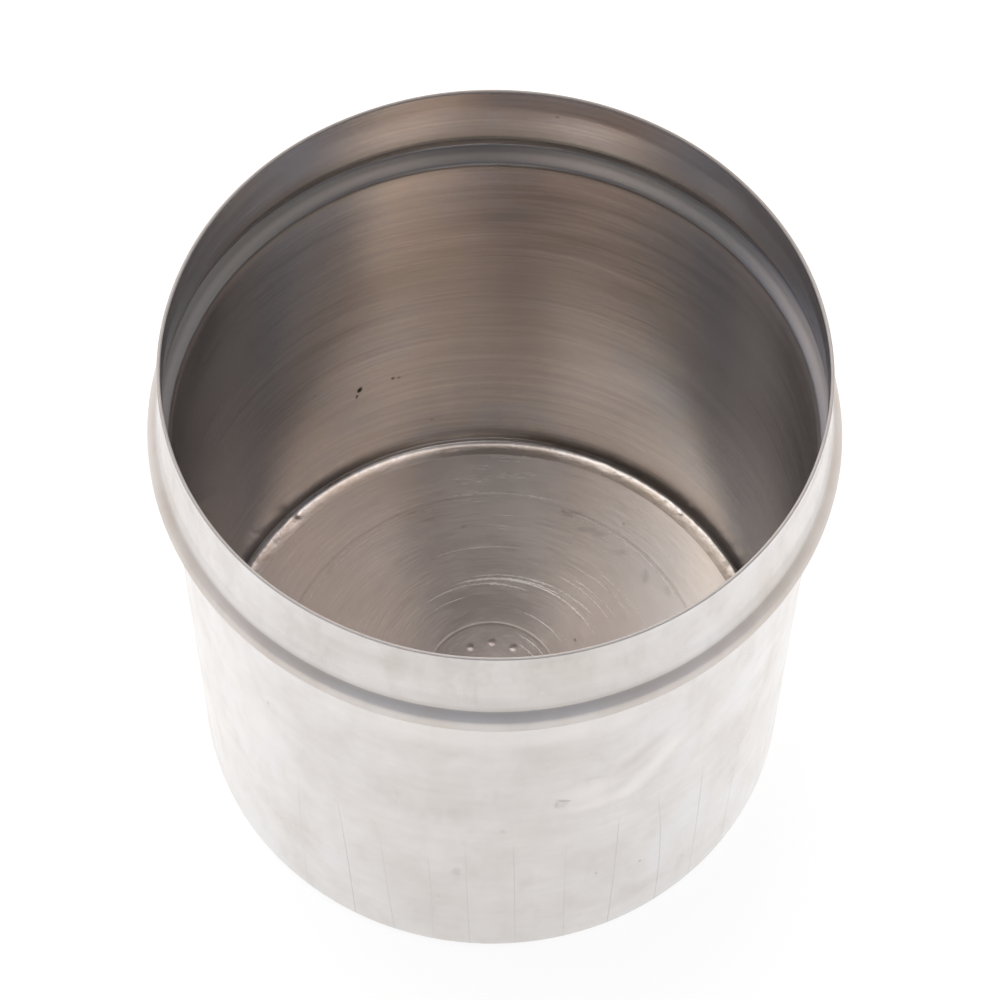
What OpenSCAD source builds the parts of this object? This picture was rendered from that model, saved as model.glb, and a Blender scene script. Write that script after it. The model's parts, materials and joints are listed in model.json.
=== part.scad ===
// Film developing canister: an open sheet-metal can with a rolled bead that seats a slip-on lid.
// The shell is one formed sheet. A flat disc lies on its turned-in foot, and a fillet of filler
// metal in the inside corner holds the disc and seals it. Origin: centre of the foot, +Z up.

/* [Body] */
// Outer diameter of the straight wall
body_d = 88; // [70:0.5:110]
// Height from the foot to the lip
total_h = 92.5; // [60:0.5:150]
// Thickness of the formed sheet
sheet_t = 0.5; // [0.4:0.05:0.7]

/* [Collar and bead] */
// How far the collar's outer face stands out from the wall's
collar_out = 0; // [0:0.1:1.5]
// Height of the collar's straight part, from the lip
collar_run = 3; // [2:0.1:5]
// Slope, from upright, of the taper that the lid wedges on
taper_angle = 7.2; // [4:0.1:8.5]
// Radius of the bend from the straight part into the taper
taper_r = 10; // [6:0.5:14]
// How far the widest line of the bead stands out from the collar
bead_proud = 2.4; // [2:0.1:4]
// Depth of the widest line of the bead below the lip
bead_drop = 14.5; // [12:0.5:18]
// Radius of the flare at the foot of the taper
flare_r = 12; // [8:0.5:14]
// Slope of the flare, from upright, where it meets the lid seat
flare_angle = 12; // [9:0.5:16]
// Slope of the lid seat, from upright
seat_angle = 34; // [28:0.5:38]
// Radius of the fold between the flare and the lid seat
fold_r = 0.8; // [0.5:0.05:1.2]
// Radius of the bead's shoulder, above its widest line
shoulder_r = 2.2; // [1.5:0.1:3]
// Radius of the bead's nose, below its widest line
nose_r = 1.0; // [0.7:0.1:1.4]
// Fall of the ledge under the bead, from level
ledge_angle = 37; // [15:1:45]
// Radius where the ledge rolls over into the wall
roll_r = 0.8; // [0.6:0.1:1.2]

/* [Foot and base] */
// Outer radius of the bottom corner
corner_r = 3; // [2:0.1:5]
// Width of the flat foot that the base rests on
foot_w = 3.5; // [2:0.1:8]
// Thickness of the bottom disc
base_t = 0.9; // [0.6:0.1:1.5]
// Gap between the disc's edge and the curve of the corner
base_gap = 0.1; // [0.05:0.05:0.3]
// Thickness at which the filler metal ends on the wall
seam_lip = 0.1; // [0.05:0.01:0.2]

/* [Coined centre] */
// Radius of the coined ring in the middle of the disc
coin_r = 10.4; // [6:0.1:16]
// Width of the coined ring
coin_w = 0.6; // [0.3:0.1:1]
// Depth of the coined ring
coin_depth = 0.2; // [0.1:0.05:0.3]
// Number of raised dots inside the coined ring
dot_count = 12; // [6:1:18]
// Diameter of a raised dot
dot_d = 1.4; // [0.8:0.1:1.8]
// Height of a raised dot
dot_h = 0.25; // [0.1:0.05:0.35]

/* [Hidden] */
$fn = 128;

// Degrees of turn between two points of a rolled arc
arc_step = 6;
// Facets round a dot
dot_facets = 48;
// Radius of the ring of dots, as a share of the radius inside the coined ring
dot_ring_share = 0.68;
steel = [0.74, 0.72, 0.69];
floor_steel = [0.66, 0.63, 0.60];
filler = [0.86, 0.83, 0.78];

half_t = sheet_t / 2;
body_mid_r = body_d / 2 - half_t;
collar_mid_r = body_mid_r + collar_out;
corner_mid_r = corner_r - half_t;
wall_in_r = body_d / 2 - sheet_t;

// Between the lip and the widest line, the arcs take part of the bead's reach and drop. The two
// straight runs, the taper and the lid seat, are as long as it takes to make up the rest.
nose_mid_r = collar_mid_r + bead_proud;
arcs_out = taper_r * (1 - cos(taper_angle)) + flare_r * (cos(taper_angle) - cos(flare_angle))
    + fold_r * (cos(flare_angle) - cos(seat_angle)) + shoulder_r * (1 - cos(seat_angle));
arcs_down = taper_r * sin(taper_angle) + flare_r * (sin(flare_angle) - sin(taper_angle))
    + fold_r * (sin(seat_angle) - sin(flare_angle)) + shoulder_r * sin(seat_angle);
runs_out = bead_proud - arcs_out;
runs_down = bead_drop - collar_run - arcs_down;
bend = sin(seat_angle - taper_angle);
taper_run = (runs_down * sin(seat_angle) - runs_out * cos(seat_angle)) / bend;
seat_run = (runs_out * cos(taper_angle) - runs_down * sin(taper_angle)) / bend;

// The ledge runs as far inward as the wall asks, and the wall as far down as the height asks
nose_turn = 90 - ledge_angle;
ledge_reach = nose_mid_r - body_mid_r - (nose_r + roll_r) * (1 - cos(nose_turn));
ledge_run = ledge_reach / cos(ledge_angle);
ledge_drop = (nose_r + roll_r) * sin(nose_turn) + ledge_run * sin(ledge_angle);
wall_run = total_h - bead_drop - ledge_drop - corner_r;

// The sheet's middle line from the round lip to the foot, as moves: ["go", length], or
// ["turn", radius, degrees], where a positive turn leads outward
SHEET = [
    ["go", collar_run - half_t],
    ["turn", taper_r, taper_angle],
    ["go", taper_run],
    ["turn", flare_r, flare_angle - taper_angle],
    ["turn", fold_r, seat_angle - flare_angle],
    ["go", seat_run],
    ["turn", shoulder_r, -seat_angle],
    ["turn", nose_r, -nose_turn],
    ["go", ledge_run],
    ["turn", roll_r, nose_turn],
    ["go", wall_run],
    ["turn", corner_mid_r, -90],
    ["go", foot_w],
];

// A place on the middle line is [radius, height, heading], heading 0 being straight down
function after_go(p, run) = [p[0] + run * sin(p[2]), p[1] - run * cos(p[2]), p[2]];
function after_turn(p, r, a) = let(side = sign(a)) [
    p[0] + side * r * (cos(p[2]) - cos(p[2] + a)),
    p[1] - side * r * (sin(p[2] + a) - sin(p[2])),
    p[2] + a
];
function move_points(p, m) = m[0] == "go" ? [after_go(p, m[1])] :
    let(n = ceil(abs(m[2]) / arc_step)) [for (i = [1:n]) after_turn(p, m[1], m[2] * i / n)];
function trace(p, moves, i = 0) = i == len(moves) ? [p] :
    let(next = move_points(p, moves[i])) concat([p], [for (k = [0:1:len(next) - 2]) next[k]],
        trace(next[len(next) - 1], moves, i + 1));

// The line moved to one side of the middle line, outward where d is positive
function side_line(line, d) = [for (p = line) [p[0] + d * cos(p[2]), p[1] + d * sin(p[2])]];
function reversed(list) = [for (i = [len(list) - 1:-1:0]) list[i]];
function arc(c, r, a0, a1) = let(n = ceil(abs(a1 - a0) / arc_step))
    [for (i = [0:n]) let(a = a0 + (a1 - a0) * i / n) c + r * [cos(a), sin(a)]];
function without_ends(list) = [for (i = [1:len(list) - 2]) list[i]];

lip_c = [collar_mid_r, total_h - half_t];
shell_line = trace([lip_c[0], lip_c[1], 0], SHEET);

// The disc lies on the foot, and its edge stops just short of the corner's curve
corner_c = [body_d / 2 - corner_r, corner_r];
corner_in_r = corner_r - sheet_t;
base_r = corner_c[0] - base_gap;
floor_z = sheet_t + base_t;

// The filler's face is a quarter arc from the disc's edge to the wall, ended early at seam_lip
face_r = wall_in_r - base_r;
face_c = [base_r, floor_z + face_r];
face_end = -acos((face_r - seam_lip) / face_r);

module shell() {
    outside = side_line(shell_line, half_t);
    inside = reversed(side_line(shell_line, -half_t));
    lip = without_ends(arc(lip_c, half_t, 180, 0));
    color(steel) rotate_extrude() polygon(concat(outside, inside, lip));
}

module coined_ring() {
    translate([0, 0, floor_z - coin_depth]) difference() {
        cylinder(r = coin_r, h = 2 * coin_depth);
        translate([0, 0, -coin_depth]) cylinder(r = coin_r - coin_w, h = 4 * coin_depth);
    }
}

// A dot is the cap of a sphere that has the dot's diameter at the floor
module dot() {
    cap_r = (pow(dot_d / 2, 2) + pow(dot_h, 2)) / (2 * dot_h);
    intersection() {
        translate([0, 0, floor_z + dot_h - cap_r]) sphere(r = cap_r, $fn = dot_facets);
        translate([0, 0, sheet_t + base_t / 2]) cylinder(r = dot_d / 2, h = base_t, $fn = dot_facets);
    }
}

module base() {
    dot_ring_r = (coin_r - coin_w) * dot_ring_share;
    color(floor_steel) union() {
        difference() {
            translate([0, 0, sheet_t]) cylinder(r = base_r, h = base_t);
            coined_ring();
        }
        for (i = [0:dot_count - 1]) rotate(i * 360 / dot_count) translate([dot_ring_r, 0, 0]) dot();
    }
}

module base_seam() {
    face = arc(face_c, face_r, -90, face_end);
    under = concat([[wall_in_r, face[len(face) - 1][1]]], arc(corner_c, corner_in_r, 0, -90));
    color(filler) rotate_extrude() polygon(concat(face, under, [[base_r, sheet_t]]));
}

shell();
base();
base_seam();
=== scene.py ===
import functools
import json
import math

import bmesh
import bpy
import numpy as np
from mathutils import Matrix, Vector, noise


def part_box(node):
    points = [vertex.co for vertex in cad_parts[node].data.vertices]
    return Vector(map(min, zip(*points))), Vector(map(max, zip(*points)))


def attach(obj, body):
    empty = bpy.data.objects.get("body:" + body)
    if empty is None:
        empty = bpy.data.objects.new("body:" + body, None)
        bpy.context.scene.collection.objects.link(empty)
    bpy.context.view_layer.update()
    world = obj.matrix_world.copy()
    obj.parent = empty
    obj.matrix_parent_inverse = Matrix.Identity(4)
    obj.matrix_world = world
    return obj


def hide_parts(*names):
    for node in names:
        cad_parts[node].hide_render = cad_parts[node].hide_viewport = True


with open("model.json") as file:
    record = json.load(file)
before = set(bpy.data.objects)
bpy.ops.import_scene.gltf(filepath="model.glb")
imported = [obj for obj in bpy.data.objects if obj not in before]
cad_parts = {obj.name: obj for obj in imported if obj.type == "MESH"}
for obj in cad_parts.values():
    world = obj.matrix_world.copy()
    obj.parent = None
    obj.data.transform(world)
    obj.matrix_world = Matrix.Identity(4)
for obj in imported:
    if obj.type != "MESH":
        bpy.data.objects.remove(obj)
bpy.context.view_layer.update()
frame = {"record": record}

MM = 0.001

# Sizes of the can, in millimetres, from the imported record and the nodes' boxes
MOUNTS = {m["name"]: m["dims"] for m in frame["record"]["mounts"]}
BODY_R = MOUNTS["lid_collar"]["r_mm"]
WALL_IN_R = MOUNTS["reel_well"]["r_mm"]
SHEET_T = BODY_R - WALL_IN_R
SHELL_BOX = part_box("shell")
TOTAL_H = SHELL_BOX[1].z / MM
BEAD_R = SHELL_BOX[1].x / MM
BASE_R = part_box("base")[1].x / MM

# Sizes that no box gives, as the solids have them, in millimetres and degrees
BEAD_DROP = 14.5
COLLAR_RUN, TAPER_ANGLE, TAPER_R = 3.0, 7.2, 10
FLARE_R, FLARE_ANGLE = 12, 12
FOLD_R, SEAT_ANGLE = 0.8, 34
SHOULDER_R, NOSE_R = 2.2, 1.0
LEDGE_ANGLE, ROLL_R = 37, 0.8
CORNER_R, FOOT_W, BASE_T = 3, 3.5, 0.9
COIN_R, COIN_W, COIN_DEPTH = 10.4, 0.6, 0.2
DOT_COUNT, DOT_D, DOT_H = 12, 1.4, 0.25
DOT_RING_R = (COIN_R - COIN_W) * 0.68
FLOOR_Z = SHEET_T + BASE_T

# The filler's thickness where it ends on the wall, its unevenness in mm, and how many of its waves fit in a
# millimetre
SEAM_LIP, SEAM_ROUGH, SEAM_WAVES = 0.03, 0.012, 0.9
# What wear has left of the coined ring's depth and of the dots' height
COIN_LEFT, DOT_LEFT = 0.07, 0.22
# The way that the filler's face looks, outward and upward
SEAM_LOOKS = (-0.6, 0.8)
# The wall's lobes: size in mm, how many go round, how far they lean over the wall's height and where they
# start, both in radians
LOBES = [(0.035, 2, 0, 0.7), (0.018, 5, 4, 0), (0.012, 9, -6, 1.3), (0.010, 14, 9, 0)]
# How far the disc's upper face strays from flat, in mm
FLOOR_SAG = 0.05
# How many vertices go round each piece; the shell has more at its pits
SHELL_ROUND, BASE_ROUND, SEAM_ROUND = 540, 480, 1400
# How close a ring of vertices lies to the lip's round edge and to the filler's edge on the floor, to keep the
# shading beside them straight, in mm
LIP_HOLD, SEAM_HOLD = 0.1, 0.01
# The radius of the disc's rounded edge, and how close its mesh comes to the axis, in mm
EDGE_R, CENTRE_R = 0.02, 0.02

# The photograph's camera: from the centre of the lip in body radii, turned in degrees
CAMERA_FROM_LIP = (0, -5.0835, 7.8250)
CAMERA_PITCH, CAMERA_YAW, CAMERA_ROLL = 59.54, 0.219, 0.928
CAMERA_LENS = 113.84

# Pits in the inside of the wall: azimuth in degrees from the back, height, half width, half height and depth
# in mm
PITS = [
    (-28.7, 24.5, 0.36, 0.65, 0.25),
    (-29.4, 23.0, 0.20, 0.45, 0.15),
    (-21.4, 24.3, 0.20, 0.28, 0.16),
    (-20.1, 24.0, 0.16, 0.18, 0.12),
    (10.7, 87.9, 0.14, 0.16, 0.12),
    (-39.0, 29.5, 0.12, 0.25, 0.10),
    (-13.3, 9.4, 0.16, 0.18, 0.14),
    (-7.9, 12.4, 0.10, 0.16, 0.10),
    (1.0, 7.8, 0.14, 0.14, 0.12),
]

# Shallow dents in the wall: azimuth, height, half width and half height in mm, tilt in degrees, depth in mm
DENTS = [
    (157, 51.0, 7.5, 3.2, 24, 0.16),
    (205, 60.0, 9.0, 6.0, -15, 0.06),
    (228, 50.0, 6.0, 7.0, 10, 0.06),
    (186, 44.0, 11.0, 7.0, 0, 0.05),
    (60, 40.0, 9.0, 9.0, 0, 0.08),
    (320, 55.0, 8.0, 10.0, 20, 0.07),
]

# Drips and pits on the filler: azimuth, place from 0 at the disc to 1 at the wall, half width, half height
# and how far it stands out in mm
DRIPS = [
    (-48.5, 0.50, 1.3, 0.60, 0.10),
    (-55.5, 0.45, 0.8, 0.50, 0.04),
    (-47.0, 0.60, 0.5, 0.40, -0.07),
    (-8.5, 0.50, 2.2, 0.25, 0.03),
    (24.7, 0.60, 1.1, 0.45, 0.05),
    (28.5, 0.55, 0.5, 0.30, -0.03),
    (41.0, 0.60, 0.6, 0.35, 0.04),
    (44.5, 0.58, 0.3, 0.20, -0.06),
    (61.0, 0.60, 0.7, 0.35, 0.03),
    (150.0, 0.45, 1.2, 0.50, 0.12),
    (232.0, 0.40, 0.9, 0.40, 0.10),
]

# The shell's finishes, in the order of its material slots
OUTSIDE, INSIDE, LIP = 0, 1, 2

# Marks on the wall: ((azimuth, height, half width, half height in mm, tilt), how dark from 0 to 1)
INSIDE_STAINS = [
    ((-28.7, 24.5, 0.42, 0.75, 20), 0.80),
    ((-29.4, 23.0, 0.22, 0.50, 30), 0.60),
    ((-21.4, 24.3, 0.30, 0.36), 0.7),
    ((-20.1, 24.0, 0.24, 0.26), 0.7),
    ((10.7, 87.9, 0.18, 0.20), 0.8),
    ((-39.0, 29.5, 0.14, 0.28), 0.5),
    ((-13.3, 9.4, 0.20, 0.22), 0.8),
    ((-7.9, 12.4, 0.13, 0.20), 0.7),
    ((1.0, 7.8, 0.18, 0.18), 0.8),
    ((-13.7, 32.5, 0.14, 0.16), 0.6),
    ((-5.0, 17.7, 0.13, 0.15), 0.6),
    ((-9.7, 8.7, 0.13, 0.15), 0.6),
    ((41.6, 57.2, 0.15, 0.2), 0.5),
    ((39.0, 52.8, 0.15, 0.2), 0.5),
    ((-17.5, 53.5, 0.2, 0.25), 0.4),
    ((-10.6, 40.0, 0.15, 0.3), 0.4),
    ((-2.0, 30.0, 0.15, 0.3), 0.5),
]
# Soft stains inside, like the marks; the two on the collar right of the back are painted shade
INSIDE_CLOUDS = [
    ((-12.0, 61.0, 6.0, 1.4, 3), 0.10),
    ((-1.5, 63.0, 5.0, 2.2, -4), 0.16),
    ((11.0, 68.0, 5.5, 1.6, -5), 0.16),
    ((14.0, 58.5, 4.5, 1.8, -4), 0.16),
    ((-7.0, 55.0, 7.0, 0.9, 2), 0.12),
    ((-21.0, 52.0, 6.0, 1.2, 6), 0.12),
    ((-38.0, 40.0, 4.5, 4.0, 10), 0.10),
    ((27.0, 51.0, 5.0, 1.8, -8), 0.14),
    ((31.0, 33.0, 8.0, 1.6, -6), 0.12),
    ((45.0, 44.0, 6.0, 4.0, -8), 0.08),
    ((-25.0, 33.0, 7.0, 0.8, 5), 0.08),
    # Painted shade over the collar's highlight to the right of the back
    ((15.0, 88.5, 9.0, 1.6, -3), 0.22),
    ((26.0, 84.5, 8.0, 1.6, -3), 0.25),
    ((-20.0, 89.0, 4.0, 1.8, 4), 0.16),
]
# Thin light lines round the inside, like the marks
INSIDE_LINES = [
    ((6.0, 41.8, 15.0, 0.30, -1), 0.30),
    ((-8.0, 44.5, 11.0, 0.22, 1), 0.22),
    ((24.0, 40.0, 9.0, 0.25, -3), 0.22),
    ((2.0, 52.5, 14.0, 0.20, 0), 0.14),
    ((-20.0, 37.5, 9.0, 0.25, 3), 0.18),
    ((-27.0, 12.0, 12.0, 0.25, 2), 0.25),
    ((20.0, 27.0, 12.0, 0.22, -2), 0.16),
    ((38.0, 22.0, 9.0, 0.25, -3), 0.20),
    ((-14.0, 83.3, 12.0, 0.5, 1), 0.35),
    ((-20.0, 84.6, 7.0, 0.4, 2), 0.30),
    ((4.0, 84.8, 10.0, 0.5, -1), 0.22),
    ((-8.0, 88.0, 2.2, 4.0, 0), 0.25),
]
# The same on the outside: sharp marks, soft dark smudges and soft light wipes
OUTSIDE_MARKS = [
    ((167.4, 48.9, 1.0, 1.2, 20), 0.12),
    ((167.0, 49.8, 1.2, 0.30, 28), 0.22),
    ((168.3, 48.9, 0.25, 0.9), 0.12),
    ((186.0, 27.8, 0.6, 1.3), 0.09),
    ((150.7, 20.3, 0.22, 0.35), 0.35),
    ((159.8, 22.4, 0.18, 0.3), 0.30),
    ((177.7, 41.9, 0.4, 0.7), 0.10),
    ((223.0, 56.4, 0.25, 0.7), 0.20),
    ((235.5, 30.2, 0.25, 1.0), 0.12),
    ((161.3, 54.5, 1.5, 0.5, 15), 0.08),
]
OUTSIDE_SMUDGES = [
    ((216.0, 60.0, 7.0, 6.0, 35), 0.13),
    ((211.0, 49.0, 7.0, 8.0, 20), 0.10),
    ((211.0, 86.0, 6.0, 2.6, 0), 0.16),
    ((200.0, 88.0, 5.0, 1.6, 0), 0.12),
    ((173.4, 66.0, 2.5, 2.5, 0), 0.07),
    ((184.2, 46.1, 2.4, 2.6, 0), 0.09),
    ((153.0, 56.9, 5.0, 1.2, -40), 0.20),
    ((133.5, 40.0, 3.0, 11.0, 0), 0.09),
    ((149.9, 10.6, 4.0, 2.2, -15), 0.16),
    ((200.4, 24.0, 9.0, 6.0, 0), 0.07),
    ((176.0, 14.0, 14.0, 5.0, 0), 0.07),
    ((163.0, 30.0, 9.0, 3.0, 20), 0.06),
]
OUTSIDE_WIPES = [
    ((162.0, 50.8, 3.2, 2.6, 0), 0.45),
    ((159.5, 46.6, 4.6, 1.4, 0), 0.50),
    ((152.0, 48.8, 4.2, 1.8, -48), 0.55),
    ((147.5, 54.0, 3.8, 1.6, -50), 0.45),
    ((205.0, 36.0, 6.0, 9.0, 20), 0.14),
    ((226.0, 50.0, 4.0, 12.0, 25), 0.14),
]

# Upright hairlines on the outside: ((azimuth at the top, azimuth at the foot, height of the top, how far its
# middle bows to the right in mm), how dark)
HAIRLINES = [
    ((127.2, 128.4, 46.0, 0.1), 0.9),
    ((138.0, 137.7, 43.0, 0.3), 1.1),
    ((148.6, 146.3, 43.5, 0.8), 1.0),
    ((156.1, 156.6, 42.0, 0.2), 1.0),
    ((166.0, 165.4, 38.0, -0.1), 0.4),
    ((175.8, 174.9, 40.0, 0.1), 0.6),
    ((184.3, 183.5, 38.7, -0.1), 0.5),
    ((191.5, 190.6, 35.7, 0.2), 0.5),
    ((200.2, 198.2, 37.0, -0.2), 0.6),
    ((208.9, 206.5, 44.0, 0.2), 1.1),
    ((217.3, 217.6, 42.0, -0.2), 0.6),
]

# Light scratches on the floor: x and y of their middle and radius in mm, azimuths where they start and end,
# half width in mm, how light
FLOOR_SCRATCHES = [
    ((0.3, 0.6, 17.4), (-24, 66), 0.18, 0.70),
    ((0.8, 0.2, 17.9), (2, 36), 0.16, 0.65),
    ((1.0, -0.4, 19.0), (14, 58), 0.16, 0.50),
    ((-0.6, 0.8, 16.3), (-8, 20), 0.14, 0.60),
    ((0.2, 0.2, 17.0), (-40, 10), 0.14, 0.35),
    ((0.9, 0.3, 18.4), (-14, 40), 0.12, 0.35),
    ((0.5, 0.5, 20.6), (28, 62), 0.14, 0.45),
    ((1.2, 0.0, 21.4), (34, 60), 0.14, 0.40),
    ((1.6, 0.4, 22.8), (30, 62), 0.12, 0.35),
    ((2.0, 0.0, 24.2), (40, 64), 0.12, 0.30),
    ((0.0, 0.0, 15.2), (-40, -15), 0.12, 0.30),
    ((0.4, 0.0, 23.8), (-30, 12), 0.12, 0.22),
    ((0.0, 0.4, 12.6), (20, 60), 0.12, 0.45),
    ((0.5, 0.2, 8.6), (25, 75), 0.14, 0.60),
    ((0.3, -0.2, 7.6), (30, 80), 0.12, 0.55),
    ((0.0, 0.0, 32.6), (18, 66), 0.12, 0.35),
    ((0.0, 0.1, 33.6), (-12, 18), 0.12, 0.30),
    ((0.0, 0.0, 31.9), (-70, -30), 0.10, 0.20),
]
# Dark and brown marks on the floor: x and y, half width and half height in mm, how dark
FLOOR_MARKS = [
    ((14.5, 27.2, 1.6, 0.5), 0.16),
    ((16.9, 26.4, 1.1, 0.4), 0.16),
    ((20.4, 23.1, 1.0, 0.5), 0.14),
    ((24.0, 18.7, 0.6, 1.1), 0.18),
    ((27.5, 16.4, 0.4, 0.9), 0.14),
    ((-4.8, 27.4, 0.25, 0.35), 0.30),
    ((20.7, 28.3, 0.20, 0.3), 0.32),
    ((-0.5, 25.7, 0.9, 0.4), 0.12),
    ((12.6, 30.2, 1.8, 0.5), 0.18),
    ((12.9, 7.3, 0.2, 0.25), 0.50),
    ((-10.1, 28.5, 1.2, 0.4), 0.10),
    ((-25.7, 19.2, 0.5, 0.8), 0.10),
    ((2.6, 23.6, 1.4, 0.6), 0.10),
]
# The worn ring's radius, depth and half width, and how far its scribbled band reaches inward, in mm
WORN_R, WORN_DEPTH, WORN_HALF, WORN_BAND = 33.15, 0.006, 0.25, 1.9

# The studio's light in soft round patches: azimuth, elevation, angle to which a patch is full, angle where it
# ends, and its colour
SKY = [
    (0, 90, 14, 41, (1.31, 1.23, 1.20)),
    (280, 73, 6, 18, (1.35, 1.45, 1.50)),
    (14, 64, 23, 50, (0.16, 0.06, 0.01)),
    (308, 51, 13, 29, (0.77, 0.63, 0.46)),
    (348, 11, 29, 38, (1.50, 1.50, 1.50)),
    (70, 29, 8, 59, (0.10, 0.10, 0.08)),
]
# The camera takes away a share of the light in one more such patch
CAMERA_SHADE, SHADE_SHARE = (175, 68, 3, 18), 0.80
HORIZON, HORIZON_TOP = (0.29, 0.31, 0.36), 30
ROOM = (0.07, 0.085, 0.116)

TABLE_HALF = 4.0
# The table's paint, how bright it is straight on and mirrored in the metal
TABLE_PAINT, TABLE_SEEN, TABLE_MIRRORED = 0.25, 0.93, 1.06
TABLE_TINT = (1, 0.98, 0.96, 1)
# It is a little darker close to the front of the can, and mirrored it is greyer towards the front
SHADOW_REACH, SHADOW_SHARE, FRONT_SHARE = 0.16, 0.06, 0.20

# Colours of the inside: its metal low and high on the wall and the painted shade at its sides, its collar
# with painted light at the left, its brown tarnish low and high on the wall, which is lighter than the metal
# as a painted highlight, and the ledge under the bead with painted light at its sides
COOL_LOW, COOL_HIGH = (0.545, 0.535, 0.545, 1), (0.665, 0.655, 0.665, 1)
SIDE_SHADE = (0.42, 0.405, 0.41, 1)
COLLAR_IN_BACK, COLLAR_IN_LIT_LEFT = (0.84, 0.86, 0.92, 1), (0.93, 0.97, 1.0, 1)
TARNISH_HIGHLIGHT_LOW, TARNISH_HIGHLIGHT_HIGH = (0.66, 0.565, 0.485, 1), (0.86, 0.735, 0.64, 1)
LEDGE_BACK, LEDGE_LIT_SIDE = (0.66, 0.585, 0.505, 1), (0.92, 0.90, 0.94, 1)
# Colours of the outside, the lip, the floor and the filler
FRONT_METAL, SIDE_METAL = (0.80, 0.78, 0.765, 1), (0.80, 0.80, 0.81, 1)
HANDLED_METAL = (0.74, 0.715, 0.69, 1)
LIP_LIGHT, LIP_DARK = (0.74, 0.72, 0.70, 1), (0.64, 0.61, 0.58, 1)
FLOOR_CLEAN, FLOOR_TARNISH = (0.73, 0.70, 0.68, 1), (0.69, 0.65, 0.61, 1)
# The filler's colours, clean and stained, with painted light at the left and painted shade at the right
SEAM_CLEAN_LIT_LEFT, SEAM_CLEAN_SHADED_RIGHT = (0.92, 0.90, 0.88, 1), (0.62, 0.585, 0.55, 1)
SEAM_STAINED_LIT_LEFT, SEAM_STAINED_SHADED_RIGHT = (0.80, 0.74, 0.68, 1), (0.53, 0.475, 0.42, 1)
# Tints that marks, painted shade and painted highlights fade a colour into
DIRT_AND_SHADE, CLOUDED, LIGHT_LINE = (0.10, 0.075, 0.055, 1), (0.22, 0.15, 0.11, 1), (0.85, 0.78, 0.70, 1)
SMUDGED, SMEARED, STAINED = (0.42, 0.35, 0.30, 1), (0.3, 0.27, 0.24, 1), (0.52, 0.40, 0.31, 1)
WIPE_AND_HIGHLIGHT, LIGHT_SCRATCH_AND_HIGHLIGHT = (0.95, 0.93, 0.91, 1), (0.95, 0.93, 0.90, 1)
COLLAR_DULL, COLLAR_BLOTCH = (0.42, 0.37, 0.33, 1), (0.42, 0.36, 0.31, 1)
CREASE_SHADE_AND_GRIME, SEAT_GRIME, LIP_SHADE = (0.26, 0.20, 0.15, 1), (0.45, 0.33, 0.24, 1), (0.36, 0.31, 0.27, 1)

# How far the brush lines swing a finish's brightness
BROAD_SWING, FINE_SWING, FLOOR_SWING, DRAG_SWING = 0.30, 0.50, 0.24, 0.12
# How much of the brush lines the rolling of the bead has smoothed away
ROLLED_SMOOTH = 0.85

# A pair below gives two places between which a finish fades in: heights, or distances along the wall from the
# middle of the back inside and of the front outside, positive to the right inside, all in millimetres

# The rolled bead's duller finish
BEAD_TOP, BEAD_FOOT = (84.5, 82.0), (73.5, 75.5)
# Inside: the wall's cool metal, the painted shade at the sides, the collar and its painted light, the painted
# light at the ledge's sides, and painted shade at the foot
WALL_RISE, LEFT_SHADE, RIGHT_SHADE, RIGHT_SHADE_TOP = (8, 82), (-27, -49), (36, 60), (66, 44)
COLLAR_IN_FOOT, COLLAR_LIT_SIDE = (80, 84), (-20, -50)
LEDGE_LIT_RIGHT, LEDGE_LIT_LEFT = (28, 56), (-28, -56)
FOOT_SHADE_RISE = (6.5, 2.4)
# Inside, the brown tarnish, which is also a painted highlight on the back of the wall: how it gets lighter up
# the wall, how far it reaches to each side of the back at its top and foot, and how wide its edge is
TARNISH_HIGHLIGHT_RISE = (38, 66)
TARNISH_HIGHLIGHT_TOP, TARNISH_HIGHLIGHT_FOOT, TARNISH_HIGHLIGHT_EDGE = 18, 38, 14
# Outside: where the metal gets cleaner and the lid's seat browner beside the front, and the painted highlight
# strip under the bead, at the front only
BESIDE = (8, 30)
HIGHLIGHT_STRIP_FOOT, HIGHLIGHT_STRIP_TOP = (66, 70), (76.5, 75)
# Outside, painted shade and grime in the crease over the bead: its height and half height; how softly the
# collar and the seat start beside it, and the height of the seat's foot
CREASE_Z, CREASE_SHADE_HALF = 80.6, 1.2
COLLAR_EDGE, SEAT_EDGE, SEAT_FOOT = 3, 0.6, 77.0
# The lip gets darker to the back, as painted shade
LIP_SHADE_BACK = (70, 115)
# On the floor, in x and y: a fan across the middle, with a painted highlight in its far part and painted
# shade in its near part, and the painted highlight on the right side
FAN, FAN_HIGHLIGHT_FAR, FAN_SHADE_NEAR, FLOOR_RIGHT_HIGHLIGHT = (13, 4), (14, 34), (19, 11), (12, 28)
# The filler's painted shade: it gets darker from the left to the back, in radians round the axis
SEAM_SHADE_TURN = (-0.4, 0.0)

# Painted light and shade inside at heights round the bead, as factors on the colour: a painted highlight
# along the middle of the ledge and under it, and painted shade over and under the fold
BEAD_LIGHT_AND_SHADE = [
    (70.0, 1.0), (74.6, 1.25), (75.5, 1.25), (75.85, 0.88), (76.2, 0.95), (76.55, 1.06), (76.75, 1.04),
    (77.05, 0.78), (77.5, 0.84), (77.9, 1.5), (78.4, 1.5), (78.8, 1.0), (80.3, 0.9), (80.6, 0.8),
    (80.85, 0.45), (81.15, 0.5), (81.6, 1.0),
]


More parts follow.
